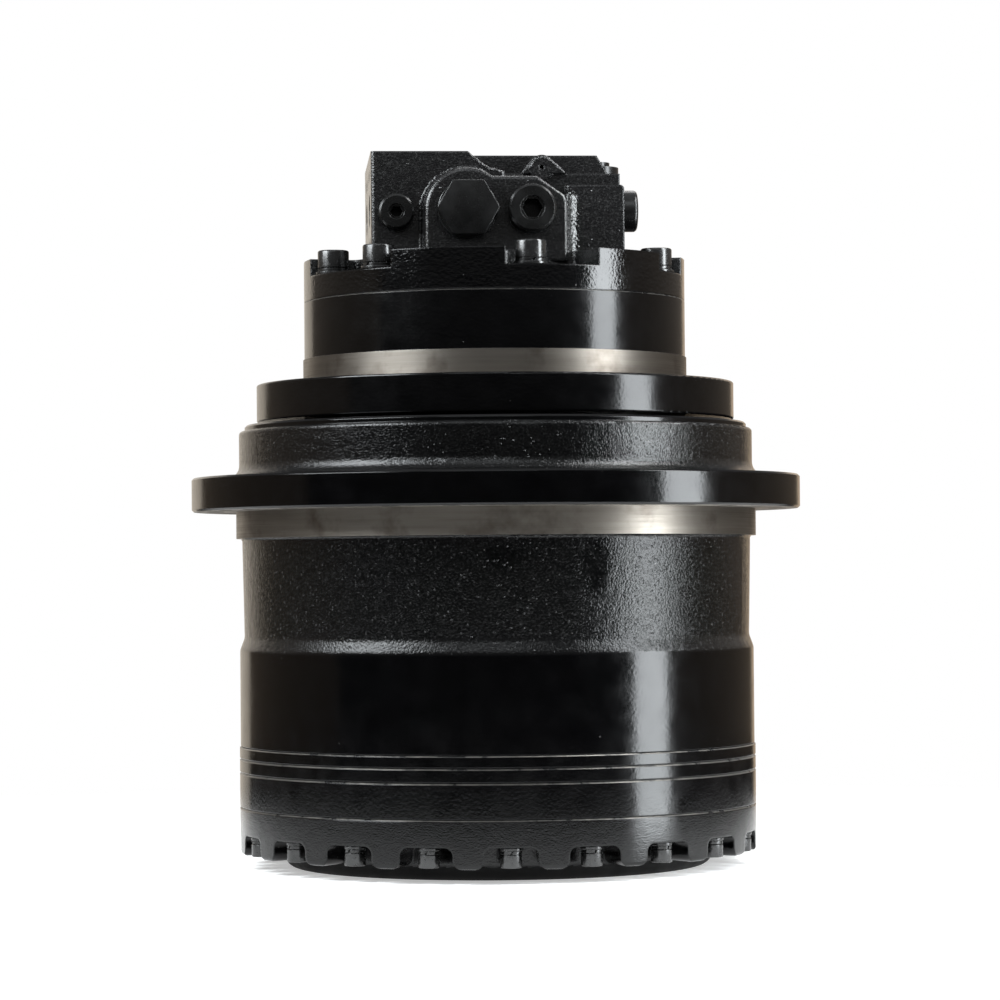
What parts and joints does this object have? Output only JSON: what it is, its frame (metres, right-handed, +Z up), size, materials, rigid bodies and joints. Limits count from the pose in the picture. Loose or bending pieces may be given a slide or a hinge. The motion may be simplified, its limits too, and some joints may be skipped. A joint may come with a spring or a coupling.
{
  "type": "excavator final drive",
  "caption": "Hydraulic travel motor with a two-stage planetary gearbox and a turning sprocket hub, black painted, with bare pilot rings and a castellated end cover",
  "frame": {"origin": "centre of the flat boss under the end cover, on the drive axis", "axes": "+Z up along the drive axis from the gearbox to the motor, -Y the pictured front, +X right"},
  "size_m": [0.475, 0.475, 0.549],
  "materials": {
    "gloss_black_casting": "gloss black paint over cast and machined iron",
    "gloss_black_steel": "gloss black paint",
    "black_fastener": "black fastener, satin",
    "gear_steel": "ground gear steel",
    "bearing_steel": "polished bearing steel",
    "seal_rubber": "nitrile rubber",
    "bearing_bronze": "bearing bronze"
  },
  "bodies": {
    "spindle": {"motor_case": "gloss_black_casting", "valve_cover": "gloss_black_casting", "valve_cover_bolts": "black_fastener", "valve_cover_washers": "black_fastener", "spool_end_plugs": "gloss_black_steel", "socket_plugs": "gloss_black_steel", "speed_valve_plug": "gloss_black_steel", "spool_springs": "gear_steel", "valve_plate": "bearing_bronze", "swash_pivots": "bearing_steel", "brake_separator_plates": "gear_steel", "brake_spring": "gear_steel", "shaft_seal": "seal_rubber", "front_bearing_outer": "bearing_steel", "rear_bearing": "bearing_steel", "upper_bearing_inner": "bearing_steel", "lower_bearing_inner": "bearing_steel", "bearing_nut": "bearing_steel", "fixed_seal_ring": "bearing_steel", "fixed_seal_toric": "seal_rubber", "stage_2_carrier": "gear_steel", "stage_2_pins": "gear_steel", "stage_2_needles": "bearing_steel"},
    "hub": {"hub_housing": "gloss_black_casting", "ring_gear": "gloss_black_steel", "ring_gear_dowels": "gear_steel", "end_cover": "gloss_black_casting", "cover_bolts": "black_fastener", "cover_washers": "black_fastener", "oil_plugs": "black_fastener", "thrust_pad": "bearing_bronze", "upper_bearing_outer": "bearing_steel", "lower_bearing_outer": "bearing_steel", "turning_seal_ring": "bearing_steel", "turning_seal_toric": "seal_rubber"},
    "rotor": {"motor_shaft": "gear_steel", "cylinder_block": "gear_steel", "pistons": "bearing_steel", "piston_shoes": "bearing_bronze", "retainer_plate": "gear_steel", "brake_friction_discs": "gear_steel", "front_bearing_inner": "bearing_steel", "sun_gear_1": "gear_steel"},
    "carrier_1": {"stage_1_carrier": "gear_steel", "stage_1_pins": "gear_steel", "stage_1_needles": "bearing_steel", "sun_gear_2": "gear_steel"},
    "upper_cage": {"upper_bearing_balls": "bearing_steel"},
    "lower_cage": {"lower_bearing_balls": "bearing_steel"},
    "swash": {"swash_plate": "gear_steel"},
    "speed_plunger": {"speed_piston": "gear_steel"},
    "brake": {"brake_piston": "gear_steel"},
    "spool": {"counterbalance_spool": "gear_steel"},
    "planet_1_a": {"stage_1_planet_a": "gear_steel"},
    "planet_1_b": {"stage_1_planet_b": "gear_steel"},
    "planet_1_c": {"stage_1_planet_c": "gear_steel"},
    "planet_2_a": {"stage_2_planet_a": "gear_steel"},
    "planet_2_b": {"stage_2_planet_b": "gear_steel"},
    "planet_2_c": {"stage_2_planet_c": "gear_steel"},
    "planet_2_d": {"stage_2_planet_d": "gear_steel"}
  },
  "joints": [
    {"name": "hub_spin", "type": "hinge", "parent": "spindle", "child": "hub", "pos_m": [0, 0, 0], "axis": [0, 0, 1], "continuous": true},
    {"name": "shaft_spin", "type": "hinge", "parent": "spindle", "child": "rotor", "pos_m": [0, 0, 0], "axis": [0, 0, 1], "continuous": true},
    {"name": "carrier_1_spin", "type": "hinge", "parent": "spindle", "child": "carrier_1", "pos_m": [0, 0, 0], "axis": [0, 0, 1], "continuous": true},
    {"name": "upper_cage_spin", "type": "hinge", "parent": "spindle", "child": "upper_cage", "pos_m": [0, 0, 0.281], "axis": [0, 0, 1], "continuous": true},
    {"name": "lower_cage_spin", "type": "hinge", "parent": "spindle", "child": "lower_cage", "pos_m": [0, 0, 0.243], "axis": [0, 0, 1], "continuous": true},
    {"name": "swash_tilt", "type": "hinge", "parent": "spindle", "child": "swash", "pos_m": [0, 0, 0.284], "axis": [1, 0, 0], "range_deg": [-8, 0]},
    {"name": "speed_piston_slide", "type": "slide", "parent": "spindle", "child": "speed_plunger", "axis": [0, 0, 1], "range_m": [0, 0.0086]},
    {"name": "brake_release", "type": "slide", "parent": "spindle", "child": "brake", "axis": [0, 0, 1], "range_m": [0, 0.002], "deforming": ["brake_spring"]},
    {"name": "spool_shift", "type": "slide", "parent": "spindle", "child": "spool", "axis": [0, 1, 0], "range_m": [-0.008, 0.008], "stiffness_N_per_m": 4000, "deforming": ["spool_springs"]},
    {"name": "planet_1_a_spin", "type": "hinge", "parent": "carrier_1", "child": "planet_1_a", "pos_m": [0.096, 0, 0.064], "axis": [0, 0, 1], "continuous": true},
    {"name": "planet_1_b_spin", "type": "hinge", "parent": "carrier_1", "child": "planet_1_b", "pos_m": [-0.048, 0.08314, 0.064], "axis": [0, 0, 1], "continuous": true},
    {"name": "planet_1_c_spin", "type": "hinge", "parent": "carrier_1", "child": "planet_1_c", "pos_m": [-0.048, -0.08314, 0.064], "axis": [0, 0, 1], "continuous": true},
    {"name": "planet_2_a_spin", "type": "hinge", "parent": "spindle", "child": "planet_2_a", "pos_m": [0.104, 0, 0.134], "axis": [0, 0, 1], "continuous": true},
    {"name": "planet_2_b_spin", "type": "hinge", "parent": "spindle", "child": "planet_2_b", "pos_m": [0, 0.104, 0.134], "axis": [0, 0, 1], "continuous": true},
    {"name": "planet_2_c_spin", "type": "hinge", "parent": "spindle", "child": "planet_2_c", "pos_m": [-0.104, 0, 0.134], "axis": [0, 0, 1], "continuous": true},
    {"name": "planet_2_d_spin", "type": "hinge", "parent": "spindle", "child": "planet_2_d", "pos_m": [0, -0.104, 0.134], "axis": [0, 0, 1], "continuous": true}
  ],
  "couplings": [
    {"joint": "shaft_spin", "follows": "hub_spin", "ratio": -40.6},
    {"joint": "carrier_1_spin", "follows": "hub_spin", "ratio": -4.2},
    {"joint": "upper_cage_spin", "follows": "hub_spin", "ratio": 0.54},
    {"joint": "lower_cage_spin", "follows": "hub_spin", "ratio": 0.54},
    {"joint": "speed_piston_slide", "follows": "swash_tilt", "m_per_rad": -0.0612},
    {"joint": "planet_1_a_spin", "follows": "hub_spin", "ratio": 12.133},
    {"joint": "planet_1_b_spin", "follows": "hub_spin", "ratio": 12.133},
    {"joint": "planet_1_c_spin", "follows": "hub_spin", "ratio": 12.133},
    {"joint": "planet_2_a_spin", "follows": "hub_spin", "ratio": 2.625},
    {"joint": "planet_2_b_spin", "follows": "hub_spin", "ratio": 2.625},
    {"joint": "planet_2_c_spin", "follows": "hub_spin", "ratio": 2.625},
    {"joint": "planet_2_d_spin", "follows": "hub_spin", "ratio": 2.625}
  ]
}
